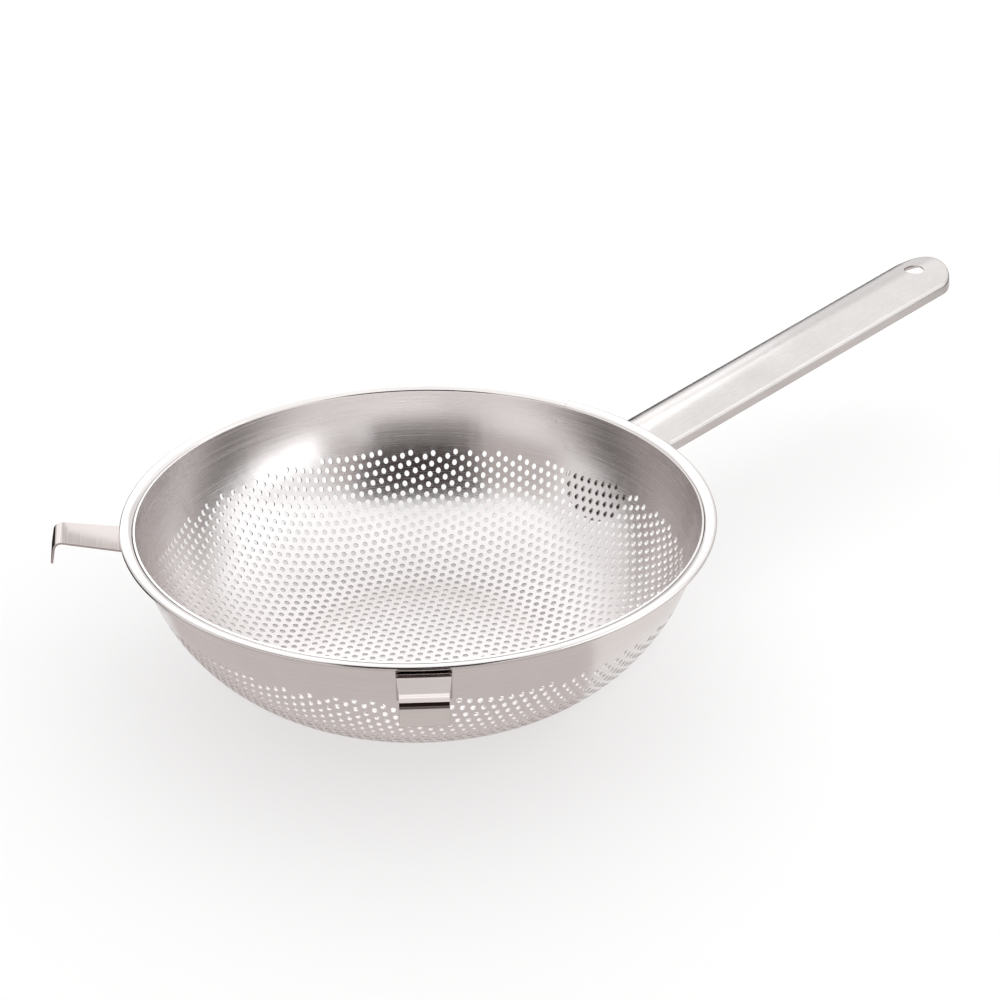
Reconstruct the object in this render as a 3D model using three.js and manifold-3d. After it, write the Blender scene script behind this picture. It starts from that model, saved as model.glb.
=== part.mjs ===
// Perforated strainer: a pressed bowl with a folded rim hoop, a channel handle and two pot hooks.
// Millimetres, +Z up. The origin is the centre of the flat base and the handle points along +X.
// Every piece is sheet metal: its middle surface is meshed first and then given its thickness.
import * as THREE from 'three';
import { mergeVertices } from 'three/addons/utils/BufferGeometryUtils.js';
import Module from 'manifold-3d';

// Bowl: one perforated blank pressed into a deep dish
const bowlSheet = 0.7;
const bowlDepth = 61.7;        // table to the plane of the rim
const baseRadius = 46;         // flat of the base
const wallRadius = 102.9;      // outside of the wall at the plane of the rim
const wallDraft = 6.3;         // degrees the wall leans out
const wallFullness = 49.8;     // how far the wall keeps its lean before it turns in
const baseFullness = 12;       // how slowly the sheet turns up past the flat
const plainBand = 21.5;        // unperforated top of the wall, along the sheet, on average
const punchOffset = 3.1;       // centre of the bowl to the middle of the perforation
const punchOffsetAngle = 226.4; // degrees from the handle
const pressStretch = 0.051;    // share by which the sheet is drawn out towards the edge
const bandRows = 3;            // rows of facets up the plain band

// Perforation: each hole here stands for a three by three patch of the real fine holes
const holePitch = 12;
const holeDiameter = 7.5;
const holeRowAngle = -23.6;    // degrees from the handle to a row of holes

// Rim: a strip folded over the edge of the bowl, its ends meeting beside the handle
const rimSheet = 0.4;
const rimOverhang = 4.6;       // wall to the outer edge of the bead
const rimLand = 4;             // width of the land with its outer round
const rimDish = 0.8;           // fall of the land towards the bowl
const rimBead = 1.3;           // height of the round outer edge
const rimHem = 1.5;            // outer edge to the end of the strip turned under
const rimShoulder = 1.2;       // plane of the rim to the top of the inner lip
const rimLip = 0.9;            // height of the inner lip
const rimSeamAngle = 13.8;     // degrees from the handle to the joint of the strip
const rimSeamGap = 0.4;        // degrees between the two ends
const rimSteps = 72;

// Handle: a pressed channel whose root opens flat and is welded to the wall
const handleSheet = 0.8;
const handleLength = 222.5;    // rim's edge to tip, along the handle
const handleDrop = 8.5;        // plane of the rim to the crown of the handle, at the rim's edge
const handleRise = 5.9;        // degrees
const handleRootWidth = 26.9;
const handleTipWidth = 30.1;
const handleCrown = 4.6;       // height of the crown across the width
const handleRootFlange = 5;    // depth of the turned down edge
const handleTipFlange = 5.8;
const flangeAngle = 85;        // degrees the edge is turned down
const handleCrease = 0.8;      // bevel each side of the fold
const handleBend = 6;          // bend from the wall to the handle, in the middle of the sheet
const handleFold = 20;         // length over which the edges turn down
const handleTipRound = 15.3;   // length of the rounded tip
const plateWidth = 40;         // root plate where it leaves the wall
const tongueWidth = 33;        // round lower end of the root plate
const tongueLength = 28;       // root plate down the wall
const hangHole = 9;
const hangHoleInset = 18;      // tip to the centre of the hanging hole

// Hooks: tapered strips welded under the rim, each with a lip that drops over a pot's edge
const hookSheet = 0.8;
const leftHookAngle = 148.4;   // degrees from the handle
const frontHookAngle = 229.4;
const hookClear = 0.35;        // bead to the top of the strip
const hookRise = 13.2;         // degrees
const hookReach = 19.5;        // rim's edge to the outer bend, along the strip
const hookRootWidth = 17.7;
const hookEndWidth = 15.2;
const hookBend = 2.5;          // outside of both bends
const hookLip = 5.6;
const hookTab = 12;            // tab welded to the wall

// Facets: how finely the rounded outlines and bends are cut
const roundFacets = 5;
const bendFacets = 4;
const foldFacets = 5;
const plateFacets = 2;
const straightFacets = 3;
const crownFacets = 6;
const stripFacets = 4;
const drillFacets = 20;

const seat = 0.3;              // clearance between two welded pieces
const rimRadius = wallRadius + rimOverhang;
const rad = THREE.MathUtils.degToRad;
const { lerp, smoothstep } = THREE.MathUtils;

// Meridian of the bowl in the middle of its sheet, from the pole to the plane of the rim
const wallMiddle = wallRadius - bowlSheet / 2;
const baseMiddle = bowlSheet / 2;
const meridian = new THREE.Path();
meridian.moveTo(0, baseMiddle);
meridian.lineTo(baseRadius, baseMiddle);
meridian.bezierCurveTo(
  baseRadius + baseFullness, baseMiddle,
  wallMiddle - wallFullness * Math.sin(rad(wallDraft)),
  bowlDepth - wallFullness * Math.cos(rad(wallDraft)),
  wallMiddle, bowlDepth,
);
const meridianLength = meridian.getLength();

// Point beside the wall: so far down the sheet from the rim's plane, so far out from its middle
function besideWall(down, out) {
  const share = 1 - down / meridianLength;
  const upward = meridian.getTangent(share);
  const outward = new THREE.Vector2(upward.y, -upward.x);
  const place = meridian.getPoint(share).addScaledVector(outward, out);
  return { place, heading: upward.angle() };
}

// Middle surface from points and the corner numbers of its triangles
function surface(points, triangles) {
  const geometry = new THREE.BufferGeometry().setFromPoints(points);
  geometry.setIndex(triangles);
  return geometry;
}

// Solid sheet: both faces stand off the middle surface and a wall closes every free edge
function thicken(middle, sheet) {
  middle.computeVertexNormals();
  const place = middle.getAttribute('position');
  const normal = middle.getAttribute('normal');
  const faces = middle.getIndex().array;
  const points = [];
  for (const side of [sheet / 2, -sheet / 2]) {
    for (let i = 0; i < place.count; i++) {
      const offset = new THREE.Vector3().fromBufferAttribute(normal, i).multiplyScalar(side);
      points.push(offset.add(new THREE.Vector3().fromBufferAttribute(place, i)));
    }
  }
  const triangles = [];
  const free = new Map();
  for (let f = 0; f < faces.length; f += 3) {
    const [a, b, c] = faces.slice(f, f + 3);
    triangles.push(a, b, c, place.count + a, place.count + c, place.count + b);
    for (const [p, q] of [[a, b], [b, c], [c, a]]) {
      if (!free.delete(`${q} ${p}`)) free.set(`${p} ${q}`, [p, q]);
    }
  }
  for (const [p, q] of free.values()) {
    triangles.push(p, place.count + p, place.count + q, p, place.count + q, q);
  }
  return surface(points, triangles);
}

// Bowl: the flat blank is laid out hole by hole and every point of it is then pressed to shape
function makeBowl() {
  const points = [];
  const triangles = [];
  const face = (a, b, c) => {
    if (a !== b && b !== c && c !== a) triangles.push(a, b, c);
  };
  const drawn = (radius) => radius * (1 + pressStretch * (radius / rimRadius) ** 2);
  const press = (arc, azimuth) => {
    const section = meridian.getPoint(arc / meridianLength);
    const spoke = new THREE.Vector2(section.x, 0).rotateAround(new THREE.Vector2(), azimuth);
    return points.push(new THREE.Vector3(spoke.x, spoke.y, section.y)) - 1;
  };

  // Triangular lattice with the pole between three holes; its steps go round in sixths of a turn
  const sixth = Math.PI / 3;
  const steps = [[1, 0], [0, 1], [-1, 1], [-1, 0], [0, -1], [1, -1]];
  const along = (turns) => new THREE.Vector2(1, 0).rotateAround(
    new THREE.Vector2(), rad(holeRowAngle) + turns * sixth);
  const hexagonShare = Math.sqrt((2 * Math.PI) / (3 * Math.sqrt(3)));
  const holeCorner = (holeDiameter / 2) * hexagonShare;
  const punchCentre = new THREE.Vector2(punchOffset, 0).rotateAround(
    new THREE.Vector2(), rad(punchOffsetAngle));
  const cells = new Map();
  const cellAt = (i, j) => {
    const key = `${i} ${j}`;
    if (!cells.has(key)) {
      const centre = along(0).multiplyScalar((i - 1 / 3) * holePitch);
      centre.addScaledVector(along(1), (j - 1 / 3) * holePitch);
      const reach = centre.distanceTo(punchCentre) + holeCorner;
      const isHole = drawn(reach) < meridianLength - plainBand;
      cells.set(key, { centre, isHole, corners: null });
    }
    return cells.get(key);
  };

  // A hole has six corners, a solid cell beside the holes has one point in its middle
  const cornerOf = (cell, k) => {
    if (!cell.corners) {
      const { centre } = cell;
      const around = cell.isHole ? steps.map((step, n) => along(n + 0.5)) : [new THREE.Vector2()];
      cell.corners = around.map((reach) => {
        const flat = reach.multiplyScalar(holeCorner).add(centre);
        return press(drawn(flat.length()), flat.angle());
      });
    }
    return cell.corners[k % cell.corners.length];
  };

  // Web: a quad between two neighbouring cells and a triangle between three
  const span = Math.ceil((2 * meridianLength) / holePitch);
  for (let i = -span; i <= span; i++) {
    for (let j = -span; j <= span; j++) {
      const here = cellAt(i, j);
      const near = steps.map(([di, dj]) => cellAt(i + di, j + dj));
      for (let k = 0; k < 3; k++) {
        if (!here.isHole && !near[k].isHole) continue;
        const side = [cornerOf(here, k + 5), cornerOf(here, k)];
        const facing = [cornerOf(near[k], k + 3), cornerOf(near[k], k + 2)];
        face(side[0], facing[0], facing[1]);
        face(side[0], facing[1], side[1]);
      }
      for (let k = 0; k < 2; k++) {
        if (![here, near[k], near[k + 1]].some((cell) => cell.isHole)) continue;
        face(cornerOf(here, k), cornerOf(near[k], k + 2), cornerOf(near[k + 1], k + 4));
      }
    }
  }

  // Plain band: rows from the solid cells round the perforation up to an even top edge
  const edge = [...cells.values()].filter((cell) => !cell.isHole && cell.corners);
  edge.sort((a, b) => a.centre.angle() - b.centre.angle());
  const even = (n) => (2 * Math.PI * (n + 0.5)) / edge.length;
  const top = meridianLength - rimShoulder - seat;
  let inner = edge.map((cell) => cell.corners[0]);
  for (let row = 1; row <= bandRows; row++) {
    const share = row / bandRows;
    const outer = edge.map(({ centre }, n) => press(
      lerp(drawn(centre.length()), top, share), lerp(centre.angle(), even(n), share)));
    inner.forEach((here, n) => {
      const next = (n + 1) % edge.length;
      face(here, outer[n], outer[next]);
      face(here, outer[next], inner[next]);
    });
    inner = outer;
  }
  return thicken(surface(points, triangles), bowlSheet);
}

// Rim: lip inside the wall, shoulder over its edge, dished land, round outer edge and hem
function makeRim() {
  const inside = -(bowlSheet / 2 + seat + rimSheet / 2);
  const bead = (rimBead - rimSheet) / 2;
  const lipEnd = besideWall(rimShoulder + rimLip, inside).place;
  const lipTop = besideWall(rimShoulder, inside).place;
  const section = new THREE.Path();
  section.moveTo(lipEnd.x, lipEnd.y);
  section.lineTo(lipTop.x, lipTop.y);
  section.lineTo(rimRadius - rimLand, bowlDepth + bead - rimDish);
  section.absarc(rimRadius - rimBead / 2, bowlDepth, bead, Math.PI / 2, -Math.PI / 2, true);
  section.lineTo(rimRadius - rimHem, bowlDepth - bead);
  const gap = rad(rimSeamGap);
  const hoop = new THREE.LatheGeometry(section.getPoints(2), rimSteps, gap / 2, 2 * Math.PI - gap);
  hoop.rotateX(Math.PI / 2);
  hoop.rotateZ(rad(rimSeamAngle) + Math.PI / 2);
  return thicken(hoop, rimSheet);
}

// Centre line of a welded limb by distance from where it leaves the wall: below zero it follows
// the wall, beyond zero it goes through steps that each turn by an angle over a length
function limbLine(sheet, leave, steps) {
  const out = bowlSheet / 2 + seat + sheet / 2;
  return (distance) => {
    let { place, heading } = besideWall(leave - Math.min(distance, 0), out);
    let left = Math.max(distance, 0);
    for (const { length, turn } of steps) {
      const part = Math.min(left, length);
      const bearing = new THREE.Vector2(Math.cos(heading), Math.sin(heading));
      const turned = (turn * part) / length;
      const chord = turned ? part * (Math.sin(turned / 2) / (turned / 2)) : part;
      place = place.clone().addScaledVector(bearing.rotateAround(new THREE.Vector2(), turned / 2), chord);
      heading += turned;
      left -= part;
    }
    const up = new THREE.Vector2(-Math.sin(heading), Math.cos(heading));
    return { place, up };
  };
}

// Limb whose straight part, at the rim's edge, lies at a given height in the middle of its sheet
function weldedLimb(sheet, bend, rise, height, further) {
  const build = (leave) => {
    const { heading } = besideWall(leave, 0);
    const turn = rad(rise) - heading;
    const bendLength = -turn * bend;
    const root = limbLine(sheet, leave, [{ length: bendLength, turn }])(bendLength).place;
    const toRim = (rimRadius - root.x) / Math.cos(rad(rise));
    return { bendLength, toRim, turn, miss: root.y + toRim * Math.sin(rad(rise)) - height, leave };
  };
  let low = 0;
  let high = meridianLength / 2;
  const closeEnough = seat / 1000;
  while (high - low > closeEnough) {
    const middle = (low + high) / 2;
    if (build(middle).miss > 0) low = middle;
    else high = middle;
  }
  const { bendLength, toRim, turn, leave } = build(high);
  const rimAt = bendLength + toRim;
  const steps = [{ length: bendLength, turn }, ...further(toRim)];
  return { line: limbLine(sheet, leave, steps), bendLength, rimAt };
}

// Point on a limb: the middle line moved sideways, hugging the wall as far as it is not straightened
function limbPoint(line, distance, across, sink, straight, hugAcross) {
  const { place, up } = line(distance);
  const radius = line(Math.min(distance, 0)).place.x;
  const swing = hugAcross / radius;
  const hug = new THREE.Vector3(
    place.x - radius * (1 - Math.cos(swing)), radius * Math.sin(swing), place.y);
  const free = new THREE.Vector3(place.x - up.x * sink, across, place.y - up.y * sink);
  return hug.lerp(free, straight);
}

// Even stations from one place to another, without the first
function spread(from, to, count) {
  return Array.from({ length: count }, (unused, n) => lerp(from, to, (n + 1) / count));
}

// Faces between two rows of points, the second row lying to the left of the first
function strip(triangles, first, second) {
  for (let n = 0; n < first.length - 1; n++) {
    triangles.push(first[n], first[n + 1], second[n + 1], first[n], second[n + 1], second[n]);
  }
}

// Handle: a crowned top from the tongue to the round tip and an edge turned down all along it
function makeHandle() {
  const crossing = bowlDepth - handleDrop - handleSheet / 2;
  const straightOn = () => [{ length: Infinity, turn: 0 }];
  const { line, bendLength, rimAt } = weldedLimb(
    handleSheet, handleBend, handleRise, crossing, straightOn);
  const foldEnd = bendLength + handleFold;
  const tipStart = rimAt + handleLength - handleTipRound;
  const tipRound = handleTipRound - handleSheet / 2;
  const taper = (root, end, distance) => {
    const share = THREE.MathUtils.clamp((distance - rimAt) / (tipStart - rimAt), 0, 1);
    return lerp(root, end, share) - handleSheet / 2;
  };
  const half = (distance) => taper(handleRootWidth / 2, handleTipWidth / 2, distance);
  const flange = (distance) => taper(handleRootFlange, handleTipFlange, distance);
  const point = (distance, across, past, heading) => {
    const turned = smoothstep(distance, bendLength / 2, foldEnd);
    const straight = smoothstep(distance, 0, foldEnd);
    const fold = rad(flangeAngle) * turned;
    const reach = past * Math.cos(fold);
    const crown = handleCrown * turned * (across / half(distance)) ** 2;
    return limbPoint(
      line, distance + reach * Math.cos(heading), across + reach * Math.sin(heading),
      crown + past * Math.sin(fold), straight, across + past * Math.sin(heading));
  };

  // Width of the root plate against the full width of the unfolded channel
  const tongueHalf = tongueWidth / 2;
  const plateScale = (distance) => {
    const open = half(distance) + flange(distance);
    const lower = smoothstep(distance, tongueHalf - tongueLength, 0);
    const upper = smoothstep(distance, 0, foldEnd);
    const width = lerp(lerp(tongueHalf, plateWidth / 2, lower), open, upper);
    const short = Math.max(1 - (distance + tongueLength) / tongueHalf, 0);
    return (width / open) * Math.sqrt(1 - short ** 2);
  };

  // Stations along the handle: tongue, plate, bend, fold, straight, then the tip by angle
  const tongue = spread(0, Math.PI / 2, roundFacets).map(
    (angle) => tongueHalf * (1 - Math.cos(angle)) - tongueLength);
  const body = [
    ...tongue, ...spread(tongueHalf - tongueLength, 0, plateFacets),
    ...spread(0, bendLength, bendFacets), ...spread(bendLength, foldEnd, foldFacets),
    ...spread(foldEnd, tipStart, straightFacets),
  ];
  const tipAngles = spread(Math.PI / 2, Math.PI / 12, roundFacets);
  const columns = [-1, ...spread(-1, 1, crownFacets)];
  const points = [];
  const triangles = [];
  const add = (...where) => points.push(point(...where)) - 1;
  const top = body.map((distance) => columns.map((column) => add(
    distance, column * (half(distance) - handleCrease) * plateScale(distance), 0, 0)));
  const tipHalf = half(tipStart);
  for (const angle of tipAngles) {
    const distance = tipStart + (tipRound - handleCrease) * Math.cos(angle);
    const width = (tipHalf - handleCrease) * Math.sin(angle);
    top.push(columns.map((column) => add(distance, column * width, 0, 0)));
  }
  for (let row = 1; row < top.length; row++) strip(triangles, top[row], top[row - 1]);

  // Edge of the top going out on the left, round the tip and back, with its two flange rows
  const side = (sign) => body.map((distance) => {
    const scale = plateScale(distance);
    return [distance, sign * half(distance) * scale, scale, sign * Math.PI / 2];
  });
  const round = (angle) => [
    tipStart + tipRound * Math.cos(angle), tipHalf * Math.sin(angle), 1,
    Math.atan2(tipRound * Math.sin(angle), tipHalf * Math.cos(angle)),
  ];
  const last = tipAngles[tipAngles.length - 1];
  const blunt = columns.slice(1, -1).reverse();
  const fold = [
    ...side(1), ...tipAngles.map(round), ...blunt.map((column) => round(column * last)),
    ...tipAngles.map((angle) => round(-angle)).reverse(), ...side(-1).reverse(),
  ];
  const rim = [
    ...top.map((row) => row[columns.length - 1]),
    ...top[top.length - 1].slice(1, -1).reverse(),
    ...top.map((row) => row[0]).reverse(),
  ];
  const flangeRow = (depth) => fold.map(([distance, across, scale, heading]) => add(
    distance, across, depth(distance) * scale, heading));
  const crease = flangeRow(() => handleCrease);
  strip(triangles, rim, crease);
  strip(triangles, crease, flangeRow(flange));

  // Hanging hole, drilled through the crown
  const { place, up } = line(rimAt + handleLength - hangHoleInset);
  const drill = new THREE.CylinderGeometry(hangHole / 2, hangHole / 2, 2 * handleCrown, drillFacets);
  drill.rotateX(Math.PI / 2);
  drill.rotateY(Math.atan2(up.x, up.y));
  drill.translate(place.x, 0, place.y);
  return drilled(thicken(surface(points, triangles), handleSheet), drill);
}

// Hook: tab on the wall, tapered strip and lip
function makeHook(angle) {
  const crossing = bowlDepth - rimBead / 2 - hookClear - hookSheet / 2 / Math.cos(rad(hookRise));
  const bend = hookBend - hookSheet / 2;
  const outerBend = (bend * Math.PI) / 2;
  const { line, bendLength, rimAt } = weldedLimb(
    hookSheet, bend, hookRise, crossing, (toRim) => [
      { length: toRim + hookReach, turn: 0 },
      { length: outerBend, turn: -Math.PI / 2 },
      { length: hookLip, turn: 0 },
    ]);
  const stripEnd = rimAt + hookReach;
  const lipStart = stripEnd + outerBend;
  const stations = [
    -hookTab, ...spread(-hookTab, 0, plateFacets), ...spread(0, bendLength, bendFacets), stripEnd,
    ...spread(stripEnd, lipStart, bendFacets), lipStart + hookLip,
  ];
  const points = [];
  const triangles = [];
  const rows = stations.map((distance) => {
    const taper = THREE.MathUtils.clamp((distance - rimAt) / hookReach, 0, 1);
    const half = lerp(hookRootWidth, hookEndWidth, taper) / 2;
    const straight = smoothstep(distance, 0, bendLength);
    return [-half, ...spread(-half, half, stripFacets)].map((across) => points.push(
      limbPoint(line, distance, across, 0, straight, across)) - 1);
  });
  for (let row = 1; row < rows.length; row++) strip(triangles, rows[row], rows[row - 1]);
  return thicken(surface(points, triangles), hookSheet).rotateZ(rad(angle));
}

// Takes a drill's volume out of a solid
const wasm = await Module();
wasm.setup();
function drilled(solid, drill) {
  drill.deleteAttribute('normal');
  drill.deleteAttribute('uv');
  const [body, tool] = [solid, mergeVertices(drill)].map((geometry) => new wasm.Manifold(
    new wasm.Mesh({
      numProp: 3,
      vertProperties: new Float32Array(geometry.getAttribute('position').array),
      triVerts: new Uint32Array(geometry.getIndex().array),
    })));
  const { vertProperties, triVerts } = body.subtract(tool).getMesh();
  const geometry = new THREE.BufferGeometry();
  geometry.setAttribute('position', new THREE.BufferAttribute(vertProperties, 3));
  geometry.setIndex(new THREE.BufferAttribute(triVerts, 1));
  return geometry;
}

// Stainless steel: satin on the bowl, brighter on the polished fittings
const satin = { color: 0xc3c2bf, roughness: 0.32, metalness: 1 };
const polished = { color: 0xcfcecb, roughness: 0.18, metalness: 1 };
const strainer = new THREE.Group();
function addPiece(name, geometry, look) {
  const mesh = new THREE.Mesh(geometry, new THREE.MeshStandardMaterial(look));
  mesh.name = name;
  strainer.add(mesh);
}
addPiece('bowl', makeBowl(), satin);
addPiece('rim_band', makeRim(), polished);
addPiece('handle', makeHandle(), polished);
addPiece('left_hook', makeHook(leftHookAngle), polished);
addPiece('front_hook', makeHook(frontHookAngle), polished);

export default strainer;
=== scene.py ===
import bpy
import numpy as np
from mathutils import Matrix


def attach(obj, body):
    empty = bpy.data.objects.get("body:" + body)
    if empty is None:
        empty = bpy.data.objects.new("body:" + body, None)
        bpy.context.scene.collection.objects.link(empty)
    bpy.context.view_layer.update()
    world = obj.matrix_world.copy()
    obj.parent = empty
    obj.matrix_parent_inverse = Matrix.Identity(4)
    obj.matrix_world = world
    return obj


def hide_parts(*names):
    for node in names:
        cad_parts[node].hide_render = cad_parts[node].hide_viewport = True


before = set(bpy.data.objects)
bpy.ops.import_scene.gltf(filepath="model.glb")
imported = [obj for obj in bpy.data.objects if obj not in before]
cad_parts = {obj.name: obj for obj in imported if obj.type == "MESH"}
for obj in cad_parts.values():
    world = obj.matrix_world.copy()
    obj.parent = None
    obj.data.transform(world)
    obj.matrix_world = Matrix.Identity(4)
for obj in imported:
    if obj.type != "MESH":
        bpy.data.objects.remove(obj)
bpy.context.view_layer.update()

# Bowl: a round blank of stainless sheet, punched all over with fine holes on a triangular
# lattice and pressed into a deep dish, so that the holes ride up the wall with the sheet.
# The top of the wall stays plain, and its cut edge shows just inside the rim band.
bowl_sheet = 0.0007
bowl_depth = 0.0617
base_radius = 0.042
wall_radius = 0.1029
wall_draft = np.radians(6.3)
wall_fullness = 0.0375
base_fullness = 0.0304
plain_band = 0.0206
punch_off_centre = 0.0031
punch_off_azimuth = np.radians(226.4)
press_stretch = 0.0514
rim_radius = 0.1075
edge_drop = 0.0004
hole_pitch = 0.0039395
hole_radius = 0.00113
hole_row_angle = np.radians(-23.637)
first_hole = np.array([-0.0011027, -0.0005407])
hole_sides = 12
band_rows = 9
flat_steps = 200
curve_steps = 2000
lattice_margin = 1.2
crease_angle = np.radians(38)


def wall_line():
    """Middle of the bowl's sheet: level out to the edge of the flat, then one cubic Bezier curve
    up to the plane of the rim. Gives arc length from the pole, radius and height along it."""
    middle = bowl_sheet / 2
    lean = wall_fullness * np.array([np.sin(wall_draft), np.cos(wall_draft)])
    top = np.array([wall_radius - middle, bowl_depth])
    corners = [(base_radius, middle), (base_radius + base_fullness, middle), top - lean, top]
    a, b, c, d = np.array(corners)
    t = np.linspace(0, 1, curve_steps + 1)[:, None]
    curve = (1 - t) ** 3 * a + 3 * (1 - t) ** 2 * t * b + 3 * (1 - t) * t ** 2 * c + t ** 3 * d
    level = np.c_[np.linspace(0, base_radius, flat_steps, endpoint=False),
                  np.full(flat_steps, middle)]
    line = np.vstack([level, curve])
    arc = np.append(0, np.cumsum(np.hypot(*np.diff(line, axis=0).T)))
    return arc, line[:, 0], line[:, 1]


line_arc, line_radius, line_height = wall_line()
line_heading = np.arctan2(np.gradient(line_height), np.gradient(line_radius))
wall_arc = line_arc[-1]


def beside_wall(arc, out):
    """Radius, height and upward heading at an arc length along the wall line, moved outwards
    along the wall's normal."""
    heading = np.interp(arc, line_arc, line_heading)
    radius = np.interp(arc, line_arc, line_radius) + out * np.sin(heading)
    height = np.interp(arc, line_arc, line_height) - out * np.cos(heading)
    return radius, height, heading


def pressed(arc, azimuth):
    """Points of the dish: radius and height of the wall line at each arc length, swung to the
    azimuth."""
    radius, height, heading = beside_wall(arc, 0.0)
    return np.stack([radius * np.cos(azimuth), radius * np.sin(azimuth), height], axis=-1)


def drawn(radius):
    """Arc length that a radius on the flat blank is drawn out to by the press."""
    return radius * (1 + press_stretch * (radius / rim_radius) ** 2)


def triangles(*corners):
    """Fan of triangles over polygons given as one array of corner numbers per corner, without
    those that have shrunk to a line."""
    fan = [np.c_[corners[0], corners[n], corners[n + 1]] for n in range(1, len(corners) - 1)]
    faces = np.vstack(fan)
    a, b, c = faces.T
    return faces[(a != b) & (b != c) & (c != a)]


def punched_dish():
    """The blank is a lattice of cells: a hole is a ring of corners round its centre, and a solid
    cell beside the holes is one point. Webs are quads between two cells and hexagons between
    three, so that each of the six webs round a hole takes two of its twelve corners. The
    outermost points join in rows to an even top edge. All points are then pressed."""
    reach = int(np.ceil(wall_arc / hole_pitch * lattice_margin))
    i, j = np.meshgrid(np.arange(-reach, reach + 1), np.arange(-reach, reach + 1), indexing="ij")
    turn = hole_row_angle + np.radians(60) * np.arange(2)
    step = hole_pitch * np.stack([np.cos(turn), np.sin(turn)], axis=-1)
    centre = first_hole + i[..., None] * step[0] + j[..., None] * step[1]
    punch_centre = punch_off_centre * np.array([np.cos(punch_off_azimuth),
                                                np.sin(punch_off_azimuth)])
    distance = np.linalg.norm(centre - punch_centre, axis=-1)
    hole = drawn(distance + hole_radius) < wall_arc - plain_band

    around = [(1, 0), (0, 1), (-1, 1), (-1, 0), (0, -1), (1, -1)]
    near_hole = hole.copy()
    for shift in around:
        near_hole |= np.roll(hole, shift, axis=(0, 1))
    edge = near_hole & ~hole
    first = np.full(hole.shape, -1)
    first[hole] = hole_sides * np.arange(hole.sum())
    first[edge] = hole_sides * hole.sum() + np.arange(edge.sum())

    corner_turn = hole_row_angle + 2 * np.pi * (np.arange(hole_sides) + 0.5) / hole_sides
    ring = hole_radius * np.stack([np.cos(corner_turn), np.sin(corner_turn)], axis=-1)
    flat = np.vstack([(centre[hole][:, None] + ring).reshape(-1, 2), centre[edge]])
    arc = drawn(np.linalg.norm(flat, axis=1))
    azimuth = np.arctan2(flat[:, 1], flat[:, 0])

    def corner(k, shift=(0, 0)):
        """Number of the kth corner of each cell, or of the cell that lies a shift away from it."""
        back = (-shift[0], -shift[1])
        start = np.roll(first, back, axis=(0, 1))
        return np.where(np.roll(hole, back, axis=(0, 1)), start + k % hole_sides, start)

    faces = []
    for k in range(3):
        beside = around[k]
        keep = hole | np.roll(hole, (-beside[0], -beside[1]), axis=(0, 1))
        quad = [corner(2 * k - 1), corner(2 * k + 6, beside), corner(2 * k + 5, beside),
                corner(2 * k)]
        faces.append(triangles(*[q[keep] for q in quad]))
    for k in range(2):
        right, left = around[k], around[k + 1]
        keep = (hole | np.roll(hole, (-right[0], -right[1]), axis=(0, 1))
                | np.roll(hole, (-left[0], -left[1]), axis=(0, 1)))
        web = [corner(2 * k), corner(2 * k + 5, right), corner(2 * k + 4, right),
               corner(2 * k + 9, left), corner(2 * k + 8, left), corner(2 * k + 1)]
        faces.append(triangles(*[w[keep] for w in web]))

    loop = first[edge]
    loop = loop[np.argsort(azimuth[loop])]
    count = len(loop)
    even = -np.pi + 2 * np.pi * (np.arange(count) + 0.5) / count
    share = np.linspace(0, 1, band_rows + 1)[1:, None]
    top = wall_arc - edge_drop
    band_arc = arc[loop] + share * (top - arc[loop])
    band_azimuth = azimuth[loop] + share * (even - azimuth[loop])
    rows = np.vstack([loop, len(flat) + np.arange(band_rows * count).reshape(band_rows, count)])
    here, over = rows[:-1], rows[1:]
    faces.append(triangles(here.ravel(), over.ravel(), np.roll(over, -1, axis=1).ravel(),
                           np.roll(here, -1, axis=1).ravel()))
    points = np.vstack([pressed(arc, azimuth),
                        pressed(band_arc.ravel(), band_azimuth.ravel())])
    return points, np.vstack(faces)


def sheet_metal(points, faces, thickness):
    """Both faces of a sheet stand half its thickness off the middle surface, along the summed
    normals of the triangles round each point, and a wall closes every free edge."""
    a, b, c = points[faces].transpose(1, 0, 2)
    normal = np.zeros_like(points)
    np.add.at(normal, faces.ravel(), np.repeat(np.cross(b - a, c - a), 3, axis=0))
    normal /= np.linalg.norm(normal, axis=1, keepdims=True)
    count = len(points)
    edges = np.vstack([faces[:, [0, 1]], faces[:, [1, 2]], faces[:, [2, 0]]])
    free = ~np.isin(edges[:, 0] * count + edges[:, 1], edges[:, 1] * count + edges[:, 0])
    p, q = edges[free].T
    walls = triangles(p, p + count, q + count, q)
    both = np.vstack([points + normal * thickness / 2, points - normal * thickness / 2])
    return both, np.vstack([faces, faces[:, ::-1] + count, walls])


def add_piece(name, points, faces, finish, edge_round=0.0):
    """Mesh object at the origin with smooth faces and sharp folds, riding on the strainer; a
    bevel takes the burr off its edges where a rounding is given."""
    mesh = bpy.data.meshes.new(name)
    mesh.from_pydata(points.tolist(), [], faces.tolist())
    mesh.shade_smooth()
    mesh.set_sharp_from_angle(angle=crease_angle)
    mesh.materials.append(finish)
    piece = bpy.data.objects.new(name, mesh)
    bpy.context.scene.collection.objects.link(piece)
    if edge_round:
        burr_angle = np.radians(50)
        bevel = piece.modifiers.new("edge_round", "BEVEL")
        bevel.width = edge_round
        bevel.segments = 2
        bevel.limit_method = "ANGLE"
        bevel.angle_limit = burr_angle
        bevel.harden_normals = True
    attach(piece, "root")
    return piece


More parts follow.
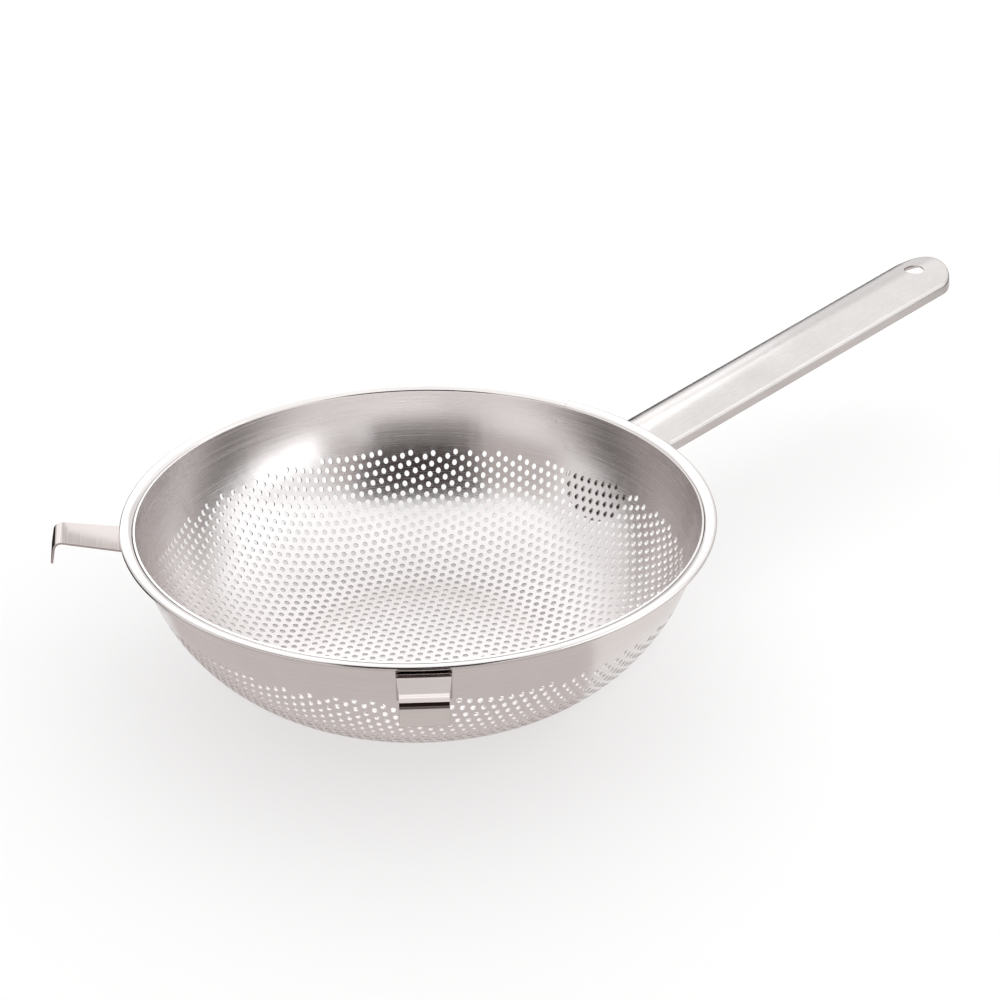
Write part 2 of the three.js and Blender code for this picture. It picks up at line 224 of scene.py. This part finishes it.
def add_node(tree, kind, inputs, operation=None):
    """Shader node of a kind, each of whose inputs takes the value that is given for it, or the
    output of another node."""
    node = tree.nodes.new("ShaderNode" + kind)
    if operation:
        node.operation = operation
    for name, source in inputs.items():
        if isinstance(source, bpy.types.NodeSocket):
            tree.links.new(source, node.inputs[name])
        else:
            node.inputs[name].default_value = source
    return node


def steel(name, dark, light, roughness, grain, depth, dull_below=None, marks=None):
    """Stainless steel: fine rubbed lines, drawn out along one direction by the grain, vary the
    roughness and the relief, and with soft clouds they drift the colour between two greys. Given
    a low and a high level and an amount, the steel is rougher by it towards the low level."""
    finish = bpy.data.materials.new(name)
    finish.use_nodes = True
    tree = finish.node_tree
    surface = tree.nodes["Principled BSDF"]
    surface.inputs["Metallic"].default_value = 1.0
    place = tree.nodes.new("ShaderNodeTexCoord").outputs["Object"]
    clouds = add_node(tree, "TexNoise", {"Vector": place, "Scale": 35.0, "Detail": 3.0})
    lines = add_node(tree, "TexNoise", {"Vector": grain(tree, place), "Scale": 1.0, "Detail": 2.0})
    line = lines.outputs["Fac"]

    streaks = add_node(tree, "Math", {0: clouds.outputs["Fac"], 1: line}, "MULTIPLY")
    spread = add_node(tree, "MapRange", {"Value": streaks.outputs["Value"],
                                         "From Min": 0.1, "From Max": 0.4})
    colour = tree.nodes.new("ShaderNodeMix")
    colour.data_type = "RGBA"
    colour.inputs["A"].default_value = (*dark, 1)
    colour.inputs["B"].default_value = (*light, 1)
    tree.links.new(spread.outputs["Result"], colour.inputs["Factor"])
    tree.links.new(colour.outputs["Result"], surface.inputs["Base Color"])

    smooth, dull = roughness
    gloss = add_node(tree, "MapRange", {"Value": line, "From Min": 0.3, "From Max": 0.7,
                                        "To Min": smooth, "To Max": dull}).outputs["Result"]
    if dull_below:
        low, high, amount = dull_below
        level = add_node(tree, "SeparateXYZ", {"Vector": place}).outputs["Z"]
        scuffed = add_node(tree, "MapRange", {"Value": level, "From Min": low, "From Max": high,
                                              "To Min": amount, "To Max": 0.0})
        gloss = add_node(tree, "Math", {0: gloss, 1: scuffed.outputs["Result"]}).outputs["Value"]
    tree.links.new(gloss, surface.inputs["Roughness"])

    relief = line
    if marks:
        relief = add_node(tree, "Math", {0: line, 1: marks(tree, place)}).outputs["Value"]
    bump = add_node(tree, "Bump", {"Strength": 0.4, "Distance": depth, "Height": relief})
    tree.links.new(bump.outputs["Normal"], surface.inputs["Normal"])
    return finish


grain_fineness = 2600.0
grain_drift = 25.0


def turned_grain(tree, place):
    """Lines that run round the axis: distance from the axis and height vary fast, azimuth not."""
    flat = add_node(tree, "VectorMath", {0: place, 1: (1, 1, 0)}, "MULTIPLY")
    radius = add_node(tree, "VectorMath", {0: flat.outputs["Vector"]}, "LENGTH")
    height = add_node(tree, "SeparateXYZ", {"Vector": place})
    ring = add_node(tree, "CombineXYZ", {"X": radius.outputs["Value"], "Y": height.outputs["Z"]})
    fine = add_node(tree, "VectorMath", {0: ring.outputs["Vector"], "Scale": grain_fineness},
                    "SCALE")
    drift = add_node(tree, "VectorMath", {0: place, "Scale": grain_drift}, "SCALE")
    total = add_node(tree, "VectorMath", {0: fine.outputs["Vector"], 1: drift.outputs["Vector"]})
    return total.outputs["Vector"]


# each mark's azimuth, distance down the wall from the rim, radius and rise
weld_places = [(np.radians(-11.2), 0.0161, 0.0024, 9.0),
               (np.radians(11.2), 0.0161, 0.0024, 7.0),
               (np.radians(14.9), 0.0070, 0.0012, 14.0)]


def weld_marks(tree, place):
    """Height of the round marks left inside the wall by the spot welds of the handle, and of a
    small drop of weld by the rim's seam: each rises smoothly towards its centre."""
    height = 0.0
    for azimuth, down, size, rise in weld_places:
        radius, level, heading = beside_wall(wall_arc - down, -bowl_sheet / 2)
        centre = (radius * np.cos(azimuth), radius * np.sin(azimuth), level)
        away = add_node(tree, "VectorMath", {0: place, 1: centre}, "DISTANCE")
        mark = add_node(tree, "MapRange", {"Value": away.outputs["Value"], "From Min": size,
                                           "From Max": 0.0, "To Max": rise})
        mark.interpolation_type = "SMOOTHSTEP"
        total = add_node(tree, "Math", {0: height, 1: mark.outputs["Result"]})
        height = total.outputs["Value"]
    return height


bowl_finish = steel("satin_bowl_steel", dark=(0.73, 0.695, 0.688), light=(0.80, 0.762, 0.755),
                    roughness=(0.20, 0.28), grain=turned_grain, depth=0.000008,
                    dull_below=(0.003, 0.02, 0.22), marks=weld_marks)
points, faces = sheet_metal(*punched_dish(), bowl_sheet)
bowl = add_piece("punched_bowl", points, faces, bowl_finish)
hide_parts("bowl")

# Rim band: a strip of thin polished steel rolled round the top of the bowl and welded to it
# outside, with a dished land and a rolled outer edge. Its two ends meet beside the handle.
rim_sheet = 0.0004
rim_land = 0.004
rim_dish = 0.0011
rim_bead = 0.0020
rim_hem = 0.0015
rim_shoulder = 0.0013
rim_seam = np.radians(13.8)
rim_seam_gap = np.radians(0.03)
rim_steps = 360
bead_steps = 18
land_steps = 10
shoulder_cuts = 2


def rounded(corners, cuts):
    """Open path with its corners cut off a quarter of the way along each side, again and again,
    so that it turns into a smooth curve."""
    path = np.array(corners)
    for cut in range(cuts):
        early = 0.75 * path[:-1] + 0.25 * path[1:]
        late = 0.25 * path[:-1] + 0.75 * path[1:]
        inner = np.stack([early, late], axis=1).reshape(-1, 2)
        path = np.vstack([path[:1], inner[1:-1], path[-1:]])
    return path


def grid_faces(rows, columns, closed=False):
    """Triangles of a grid of points numbered row by row, its last row joined to its first where
    it is closed."""
    number = np.arange(rows * columns).reshape(rows, columns)
    if closed:
        number = np.vstack([number, number[:1]])
    a, b = number[:-1, :-1], number[1:, :-1]
    c, d = number[1:, 1:], number[:-1, 1:]
    return triangles(a.ravel(), b.ravel(), c.ravel(), d.ravel())


def rim_section():
    """Middle of the strip from its weld on the wall up over the dished land, round the outer edge
    and back under it to the end of the hem."""
    root = beside_wall(wall_arc - rim_shoulder, (bowl_sheet + rim_sheet) / 2)[:2]
    bead = (rim_bead - rim_sheet) / 2
    turn = np.linspace(np.pi / 2, -np.pi / 2, bead_steps + 1)
    edge = np.c_[rim_radius - rim_bead / 2 + bead * np.cos(turn), bowl_depth + bead * np.sin(turn)]
    crease = np.array([rim_radius - rim_land, bowl_depth + bead - rim_dish])
    share = np.linspace(0, 1, land_steps + 1)
    land = crease + np.c_[share, 1 - (1 - share) ** 2] * (edge[0] - crease)
    shoulder = rounded([root, crease, land[1]], shoulder_cuts)
    hem = np.array([rim_radius - rim_hem, bowl_depth - bead])
    return np.vstack([shoulder, land[2:], edge[1:], hem])


def rim_hoop():
    """The section carried round the axis from one side of the seam to the other."""
    radius, height = rim_section().T
    swing = np.linspace(rim_seam_gap / 2, 2 * np.pi - rim_seam_gap / 2, rim_steps)[:, None]
    turn = rim_seam + swing
    points = np.stack(np.broadcast_arrays(radius * np.cos(turn), radius * np.sin(turn), height),
                      axis=-1)
    return points.reshape(-1, 3), grid_faces(rim_steps, len(radius))[:, ::-1]


rim_finish = steel("polished_rim_steel", dark=(0.66, 0.625, 0.615), light=(0.72, 0.685, 0.675),
                   roughness=(0.13, 0.19), grain=turned_grain, depth=0.000008)
points, faces = sheet_metal(*rim_hoop(), rim_sheet)
rim = add_piece("folded_rim", points, faces, rim_finish, edge_round=0.00008)
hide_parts("rim_band")

# Handle: one pressed strip with a crowned top and edges turned down all round, also round the
# tip. Its root opens out flat, bends down and is welded to the wall, where it ends in a tongue.
handle_sheet = 0.0008
handle_length = 0.2225
handle_drop = 0.0085
handle_rise = np.radians(5.9)
handle_root_width = 0.0269
handle_tip_width = 0.0301
handle_crown = 0.0046
handle_root_flange = 0.005
handle_tip_flange = 0.0058
flange_angle = np.radians(85)
fold_round = 0.0024
handle_bend = 0.006
handle_fold = 0.020
handle_tip_round = 0.0153
plate_width = 0.040
tongue_width = 0.033
tongue_length = 0.028
hang_hole = 0.009
hang_hole_inset = 0.018
hang_hole_patch = 0.016
seat = 0.0003
halvings = 40
places_per_metre = 1e7
tongue_steps = 12
body_steps = (7, 9, 18, 20)
side_steps = 8
tip_steps = 40
ray_steps = 12
column_steps = 24
fold_steps = 10
flange_steps = 5


def limb_line(sheet, leave, legs):
    """Centre line of a welded strip by distance from where it leaves the wall: below zero it
    follows the wall at the thickness of both sheets, beyond zero it goes through legs, each a
    length over which it turns by an angle. Gives radius, height and heading."""
    out = bowl_sheet / 2 + seat + sheet / 2

    def line(distance):
        radius, height, heading = beside_wall(wall_arc - leave + np.minimum(distance, 0), out)
        left = np.maximum(distance, 0)
        for length, turn in legs:
            part = np.minimum(left, length)
            turned = turn * part / length
            chord = part * np.sinc(turned / (2 * np.pi))
            radius = radius + chord * np.cos(heading + turned / 2)
            height = height + chord * np.sin(heading + turned / 2)
            heading = heading + turned
            left = left - part
        return radius, height, heading

    return line


def welded_limb(sheet, bend, rise, crossing, further):
    """The strip leaves the wall where its straight part then crosses the rim's edge at the given
    height, found by halving. Gives its line, the length of its bend and where the rim is."""
    low, high = 0.0, wall_arc / 2
    for halving in range(halvings):
        leave = (low + high) / 2
        turn = rise - beside_wall(wall_arc - leave, 0.0)[2]
        bend_length = -turn * bend
        radius, height, heading = limb_line(sheet, leave, [(bend_length, turn)])(bend_length)
        to_rim = (rim_radius - radius) / np.cos(rise)
        above = height + to_rim * np.sin(rise) > crossing
        low, high = (leave, high) if above else (low, leave)
    line = limb_line(sheet, leave, [(bend_length, turn)] + further(to_rim))
    return line, bend_length, bend_length + to_rim


def stepped(stops, counts):
    """Distances from the first stop to the last, each stretch between two stops in so many even
    steps."""
    stretches = [np.linspace(near, far, count + 1)[1:]
                 for near, far, count in zip(stops[:-1], stops[1:], counts)]
    return np.concatenate([stops[:1], *stretches])


def ease(value, start, end):
    """Smooth step from 0 at the start to 1 at the end."""
    t = np.clip((value - start) / (end - start), 0, 1)
    return t * t * (3 - 2 * t)


def limb_points(line, distance, across, sink, straight, hug_across):
    """Points beside a strip's centre line: moved sideways and sunk below it where the strip is
    straightened, and bent round the wall's own radius where it is not."""
    distance, across, sink, straight, hug_across = np.broadcast_arrays(
        distance, across, sink, straight, hug_across)
    radius, height, heading = line(distance)
    wall = line(np.minimum(distance, 0))[0]
    swing = hug_across / wall
    hug = np.stack([radius - wall * (1 - np.cos(swing)), wall * np.sin(swing), height], axis=-1)
    free = np.stack([radius + np.sin(heading) * sink, across,
                     height - np.cos(heading) * sink], axis=-1)
    return hug + (free - hug) * straight[..., None]


def merged(points, faces):
    """Points that lie in the same place become one, so that patches join without a seam."""
    where = np.round(points * places_per_metre).astype(np.int64)
    unique, first, number = np.unique(where, axis=0, return_index=True, return_inverse=True)
    return points[first], triangles(*number.ravel()[faces].T)


def pressed_handle():
    """Top patch from the tongue to a cut before the hanging hole, a patch of rays from the hole
    to the outline round it, and turned down edges that sweep an arc and then run straight."""
    crossing = bowl_depth - handle_drop - handle_sheet / 2
    line, bend_length, rim_at = welded_limb(handle_sheet, handle_bend, handle_rise, crossing,
                                            lambda to_rim: [(2 * handle_length, 0.0)])
    fold_end = bend_length + handle_fold
    tip = rim_at + handle_length
    tip_start = tip - handle_tip_round
    tip_round = handle_tip_round - handle_sheet / 2

    def taper(root, end, distance):
        """Straight change from a size at the rim to one at the tip, less half the sheet."""
        share = np.clip((distance - rim_at) / (tip_start - rim_at), 0, 1)
        return root + (end - root) * share - handle_sheet / 2

    def half(distance):
        """Half the handle's width."""
        return taper(handle_root_width / 2, handle_tip_width / 2, distance)

    def flange(distance):
        """Depth of the turned down edge."""
        return taper(handle_root_flange, handle_tip_flange, distance)

    def slope(distance):
        """Share of the pressing, from none at the root to full at the end of the fold, the slope
        of the crown's parabola at its edge, and the slope that the edge is turned down to."""
        turned = ease(distance, bend_length / 2, fold_end)
        lean = np.arctan(2 * handle_crown * turned / half(distance))
        return turned, lean, np.maximum(flange_angle * turned, lean)

    def fold_inset(distance):
        """Width of the rounded fold, seen from above: its radius times the change of sine."""
        turned, lean, fold = slope(distance)
        return fold_round * (np.sin(fold) - np.sin(lean))

    def place(distance, across, past, heading):
        """Point on the crown, which sinks with the square of the share of the half width; going
        past the fold in a heading, an arc of the fold's radius and then straight down the edge."""
        turned, lean, fold = slope(distance)
        straight = ease(distance, 0, fold_end)
        turn = np.clip(past / fold_round, 0, fold - lean)
        rest = np.maximum(past - fold_round * (fold - lean), 0)
        reach = fold_round * (np.sin(lean + turn) - np.sin(lean)) + rest * np.cos(fold)
        sink = fold_round * (np.cos(lean) - np.cos(lean + turn)) + rest * np.sin(fold)
        crown = handle_crown * turned * (across / half(distance)) ** 2
        return limb_points(line, distance + reach * np.cos(heading),
                           across + reach * np.sin(heading), crown + sink, straight,
                           across + past * np.sin(heading))

    tongue_half = tongue_width / 2

    def plate_scale(distance):
        """Width of the flat root as a share of the opened out strip: the tongue, rounded at its
        end, widens smoothly into the plate and then eases into the strip."""
        open_half = half(distance) + flange(distance)
        lower = ease(distance, tongue_half - tongue_length, 0)
        upper = ease(distance, 0, fold_end)
        plate = tongue_half + (plate_width / 2 - tongue_half) * lower
        width = plate + (open_half - plate) * upper
        short = np.clip(1 - (distance + tongue_length) / tongue_half, 0, 1)
        return width / open_half * np.sqrt(1 - short ** 2)

    hole_at = tip - hang_hole_inset
    cut = hole_at - hang_hole_patch
    round_turn = np.linspace(0, np.pi / 2, tongue_steps + 1)[1:-1]
    body = np.concatenate([
        tongue_half * (1 - np.cos(round_turn)) - tongue_length,
        stepped([tongue_half - tongue_length, 0, bend_length, fold_end, cut], body_steps),
    ])
    columns = np.linspace(-1, 1, column_steps + 1)
    width = (half(body) - fold_inset(body)) * plate_scale(body)
    top = place(body[:, None], columns * width[:, None], 0.0, 0.0)
    patches = [(top.reshape(-1, 3), grid_faces(len(body), len(columns)))]

    side = np.linspace(cut, tip_start, side_steps + 1)
    turn = np.linspace(np.pi / 2, -np.pi / 2, tip_steps + 1)
    tip_half = half(tip_start)
    tip_inset = fold_inset(tip_start)
    outline = np.vstack([
        np.c_[side, half(side) - fold_inset(side)],
        np.c_[tip_start + (tip_round - tip_inset) * np.cos(turn),
              (tip_half - tip_inset) * np.sin(turn)][1:],
        np.c_[side, fold_inset(side) - half(side)][::-1][1:],
        np.c_[np.full(len(columns), cut), columns * (half(cut) - fold_inset(cut))][1:-1],
    ])
    bearing = np.arctan2(outline[:, 1], outline[:, 0] - hole_at)
    bore = np.c_[hole_at + hang_hole / 2 * np.cos(bearing), hang_hole / 2 * np.sin(bearing)]
    ray = np.linspace(0, 1, ray_steps + 1)[:, None]
    rays = bore[:, None] + ray * (outline - bore)[:, None]
    around = place(rays[..., 0], rays[..., 1], 0.0, 0.0)
    patches.append((around.reshape(-1, 3), grid_faces(len(outline), len(ray), True)))

    heading_tip = np.arctan2(tip_round * np.sin(turn), tip_half * np.cos(turn))
    out_along = np.concatenate([body, side[1:]])
    left_scale = np.concatenate([plate_scale(body), np.ones(len(side) - 1)])
    left_half = half(out_along) - fold_inset(out_along)
    tip_outline = outline[len(side):len(side) + tip_steps]
    fold_along = np.concatenate([out_along, tip_outline[:, 0], out_along[::-1][1:]])
    fold_across = np.concatenate([left_half * left_scale, tip_outline[:, 1],
                                  (-left_half * left_scale)[::-1][1:]])
    fold_scale = np.concatenate([left_scale, np.ones(tip_steps), left_scale[::-1][1:]])
    fold_heading = np.concatenate([np.full(len(out_along), np.pi / 2), heading_tip[1:],
                                   np.full(len(out_along) - 1, -np.pi / 2)])
    turned, lean, fold = slope(fold_along)
    bent = fold_round * (fold - lean)
    straight_down = flange(fold_along) - fold_round * (np.cos(lean) - np.cos(fold))
    depth = ((bent + straight_down) * fold_scale)[:, None]
    bent = np.minimum(bent[:, None], depth)
    arc_share = np.linspace(0, 1, fold_steps + 1)
    down_share = np.linspace(0, 1, flange_steps + 1)[1:]
    past = np.hstack([bent * arc_share, bent + (depth - bent) * down_share])
    edge = place(fold_along[:, None], fold_across[:, None], past, fold_heading[:, None])
    patches.append((edge.reshape(-1, 3), grid_faces(*past.shape)))

    patch_points, patch_faces = zip(*patches)
    starts = np.cumsum([0] + [len(points) for points in patch_points])
    points = np.vstack(patch_points)
    faces = np.vstack([faces + start for faces, start in zip(patch_faces, starts)])
    return merged(points, faces)


grain_along = 40.0


def long_grain(tree, place):
    """Lines that run along the handle: fast across it and in height, slow along it."""
    fineness = (grain_along, grain_fineness, grain_fineness)
    drawn_out = add_node(tree, "VectorMath", {0: place, 1: fineness}, "MULTIPLY")
    return drawn_out.outputs["Vector"]


handle_finish = steel("brushed_handle_steel", dark=(0.54, 0.51, 0.50), light=(0.62, 0.585, 0.575),
                      roughness=(0.18, 0.25), grain=long_grain, depth=0.00001)
points, faces = sheet_metal(*pressed_handle(), handle_sheet)
handle = add_piece("pressed_handle", points, faces, handle_finish,
                   edge_round=0.00015)
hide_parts("handle")

# Pot hooks: two short tapered strips of polished steel, each with a tab welded to the wall under
# the rim, a straight reach outwards and a lip bent down that drops over the edge of a pot.
hook_sheet = 0.0008
hook_clear = 0.0010
hook_rise = np.radians(13.2)
hook_reach = 0.0195
hook_root_width = 0.0177
hook_end_width = 0.0152
hook_bend = 0.0030
hook_lip = 0.0056
hook_tab = 0.012
hook_steps = (8, 8, 12, 10, 4)
hook_columns = 12


def pot_hook(azimuth):
    """Grid of distance along the strip and share of its width, tapered beyond the rim, hugging
    the wall at its tab, and then swung round the axis to its azimuth."""
    crossing = bowl_depth - hook_clear - hook_sheet / 2 / np.cos(hook_rise)
    bend = hook_bend - hook_sheet / 2
    outer = bend * np.pi / 2
    line, bend_length, rim_at = welded_limb(
        hook_sheet, bend, hook_rise, crossing,
        lambda to_rim: [(to_rim + hook_reach, 0.0), (outer, -np.pi / 2), (hook_lip, 0.0)])
    strip_end = rim_at + hook_reach
    lip_start = strip_end + outer
    stops = [-hook_tab, 0, bend_length, strip_end, lip_start, lip_start + hook_lip]
    distance = stepped(stops, hook_steps)[:, None]
    share = np.linspace(-0.5, 0.5, hook_columns + 1)
    taper = np.clip((distance - rim_at) / hook_reach, 0, 1)
    across = share * (hook_root_width + (hook_end_width - hook_root_width) * taper)
    points = limb_points(line, distance, across, 0.0, ease(distance, 0, bend_length), across)
    x, y, z = points.reshape(-1, 3).T
    points = np.c_[x * np.cos(azimuth) - y * np.sin(azimuth),
                   x * np.sin(azimuth) + y * np.cos(azimuth), z]
    return points, grid_faces(len(distance), len(share))


hook_finish = steel("polished_hook_steel", dark=(0.50, 0.448, 0.43), light=(0.54, 0.484, 0.465),
                    roughness=(0.03, 0.06), grain=turned_grain, depth=0.000002)
for hook_name, azimuth in [("left_hook", 148.4), ("front_hook", 229.4)]:
    points, faces = sheet_metal(*pot_hook(np.radians(azimuth)), hook_sheet)
    hook = add_piece("bent_" + hook_name, points, faces, hook_finish,
                     edge_round=0.00015)
    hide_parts(hook_name)

# Studio: a pale floor under the strainer, a white surround and soft lamps above and around it.
# Cards that stand round the strainer and mats that lie on the floor, seen by mirrors alone, give
# the polished steel its dark and grey reflections. The floor glows, which is painted light that
# lightens the strainer's shadow on it, and it glows less under the bowl, which is painted shade.
picture_turn = np.radians(-43.6)


def studio_place(bearing, elevation, distance):
    """Point so far from the bowl: the bearing in degrees goes round from straight behind the
    bowl, as the camera sees it, to the right."""
    a, e = picture_turn + np.radians(90 - bearing), np.radians(elevation)
    out = distance * np.cos(e)
    return np.stack(np.broadcast_arrays(out * np.cos(a), out * np.sin(a), distance * np.sin(e)),
                    axis=-1)


floor_half = 6
floor_corners = [(-floor_half, -floor_half, 0), (floor_half, -floor_half, 0),
                 (floor_half, floor_half, 0), (-floor_half, floor_half, 0)]
floor_mesh = bpy.data.meshes.new("floor")
floor_mesh.from_pydata(floor_corners, [], [(0, 1, 2, 3)])
floor = bpy.data.objects.new("floor", floor_mesh)
bpy.context.scene.collection.objects.link(floor)
floor_finish = bpy.data.materials.new("pale_floor")
floor_finish.use_nodes = True
floor_tree = floor_finish.node_tree
floor_surface = floor_tree.nodes["Principled BSDF"]
floor_surface.inputs["Base Color"].default_value = (0.51, 0.5, 0.497, 1)
floor_surface.inputs["Emission Color"].default_value = (1, 1, 1, 1)
floor_surface.inputs["Roughness"].default_value = 0.9
floor_surface.inputs["Specular IOR Level"].default_value = 0.1
floor_place = floor_tree.nodes.new("ShaderNodeTexCoord").outputs["Object"]
# Painted light and shade: the floor's glow of 0.45 lightens the shadow on it, and towards a point
# under the bowl it falls to 0.27 as a painted shadow of the bowl.
shade_centre = studio_place(0, 0, 0.04)
off_bowl = add_node(floor_tree, "VectorMath", {0: floor_place, 1: shade_centre}, "DISTANCE")
glow_and_painted_shade = add_node(floor_tree, "MapRange", {"Value": off_bowl.outputs["Value"], "From Min": 0.05,
                                         "From Max": 0.1, "To Min": 0.27, "To Max": 0.45})
floor_tree.links.new(glow_and_painted_shade.outputs["Result"], floor_surface.inputs["Emission Strength"])
floor_mesh.materials.append(floor_finish)

world = bpy.data.worlds.new("studio")
bpy.context.scene.world = world
world.use_nodes = True
world_tree = world.node_tree
surround = world_tree.nodes["Background"]
surround.inputs["Color"].default_value = (1, 1, 1, 1)
ray = world_tree.nodes.new("ShaderNodeLightPath").outputs
seen = add_node(world_tree, "Math", {0: ray["Is Camera Ray"], 1: ray["Is Glossy Ray"]})
shown = add_node(world_tree, "Math", {0: seen.outputs["Value"], 1: ray["Is Transmission Ray"]})
shown.use_clamp = True
brightness = add_node(world_tree, "MapRange", {"Value": shown.outputs["Value"],
                                               "To Min": 0.85, "To Max": 1.0})
world_tree.links.new(brightness.outputs["Result"], surround.inputs["Strength"])

daylight = (0.95, 1.0, 1.01)
warm = np.array([1.0, 0.93, 0.912])


def facing_bowl(thing, bearing, elevation, distance):
    """Turns a lamp or card so that its face looks at the bowl from its place in the studio."""
    thing.location = studio_place(bearing, elevation, distance)
    turn = picture_turn + np.radians(180 - bearing)
    thing.rotation_euler = (np.radians(90 - elevation), 0, turn)


def soft_lamp(name, width, height, level):
    """Area lamp of an even brightness, not seen by the camera."""
    data = bpy.data.lights.new(name, "AREA")
    data.shape = "RECTANGLE"
    data.size = width
    data.size_y = height
    data.energy = level * np.pi * width * height
    data.color = daylight
    lamp = bpy.data.objects.new(name, data)
    lamp.visible_camera = False
    bpy.context.scene.collection.objects.link(lamp)
    return lamp


def mirror_only(name, points, faces, tone):
    """Flat thing of an even brightness that only mirrors see."""
    mesh = bpy.data.meshes.new(name)
    mesh.from_pydata(points.tolist(), [], faces)
    finish = bpy.data.materials.new(name)
    finish.use_nodes = True
    paint = finish.node_tree.nodes["Principled BSDF"]
    paint.inputs["Base Color"].default_value = (0, 0, 0, 1)
    paint.inputs["Specular IOR Level"].default_value = 0.0
    paint.inputs["Emission Color"].default_value = (*tone, 1)
    paint.inputs["Emission Strength"].default_value = 1.0
    mesh.materials.append(finish)
    thing = bpy.data.objects.new(name, mesh)
    thing.visible_camera = False
    thing.visible_diffuse = False
    thing.visible_shadow = False
    bpy.context.scene.collection.objects.link(thing)
    return thing


def card(name, width, height, tone):
    """Card that stands up, to be turned to the bowl."""
    x, y = width / 2, height / 2
    corners = np.array([(-x, -y, 0), (x, -y, 0), (x, y, 0), (-x, y, 0)])
    return mirror_only(name, corners, [(0, 1, 2, 3)], tone)


mat_steps = 12


def mat(name, first, last, near, far, height, tone):
    """Sector of a ring round the bowl, between two bearings and two distances, lying just off
    the floor."""
    bearing = np.linspace(first, last, mat_steps + 1)
    points = np.vstack([studio_place(bearing, 0, near), studio_place(bearing, 0, far)])
    points[:, 2] = height
    far_start = mat_steps + 1
    faces = [(n, n + 1, n + 1 + far_start, n + far_start) for n in range(mat_steps)]
    return mirror_only(name, points, faces, tone)


ceiling = soft_lamp("top_lamp", 3.6, 3.0, 0.38)
to_right, to_back, up = 0.47, 0.78, 1.3
ceiling.location = studio_place(90, 0, to_right) + studio_place(0, 0, to_back) + [0, 0, up]
ceiling.rotation_euler = (0, 0, picture_turn)
for name, width, height, level, bearing, elevation, distance in [
        ("side_lamp", 0.7, 0.45, 1.1, 114, 10, 1.1),
        ("back_lamp", 1.4, 0.46, 0.7, -20, 21, 1.5),
        ("high_lamp", 1.0, 0.7, 0.6, -9, 45, 1.5),
        ("right_lamp", 0.5, 0.85, 0.5, 82, 22, 1.3)]:
    facing_bowl(soft_lamp(name, width, height, level), bearing, elevation, distance)
for name, width, height, tone, bearing, elevation, distance in [
        ("dark_card", 0.84, 0.66, (0.030, 0.020, 0.018), 177, 42, 0.9),
        ("low_card", 0.84, 0.34, 0.2 * warm, 180, 11, 0.95),
        ("grey_card", 0.76, 0.6, 0.6 * warm, 225, 28, 1.0),
        ("grey_card_right", 0.3, 0.6, 0.6 * warm, 140, 28, 1.0)]:
    facing_bowl(card(name, width, height, tone), bearing, elevation, distance)
for name, first, last, near, far, height, tone in [
        ("front_mat", 128, 265, 0.03, 0.45, 0.0003, 0.66 * warm),
        ("right_mat", 20, 128, 0.11, 0.6, 0.0003, (0.88, 0.85, 0.835)),
        ("back_mat", -95, 70, 0.13, 4.0, 0.0002, 0.03 * warm)]:
    mat(name, first, last, near, far, height, tone)

camera_data = bpy.data.cameras.new("camera")
camera_data.lens = 60.28
camera_data.sensor_width = 36.0
camera = bpy.data.objects.new("camera", camera_data)
camera.location = (-0.349862, -0.409549, 0.349003)
camera.rotation_euler = (np.radians(62.082), 0, picture_turn)
bpy.context.scene.collection.objects.link(camera)
bpy.context.scene.camera = camera
bpy.context.scene.view_settings.view_transform = "Standard"
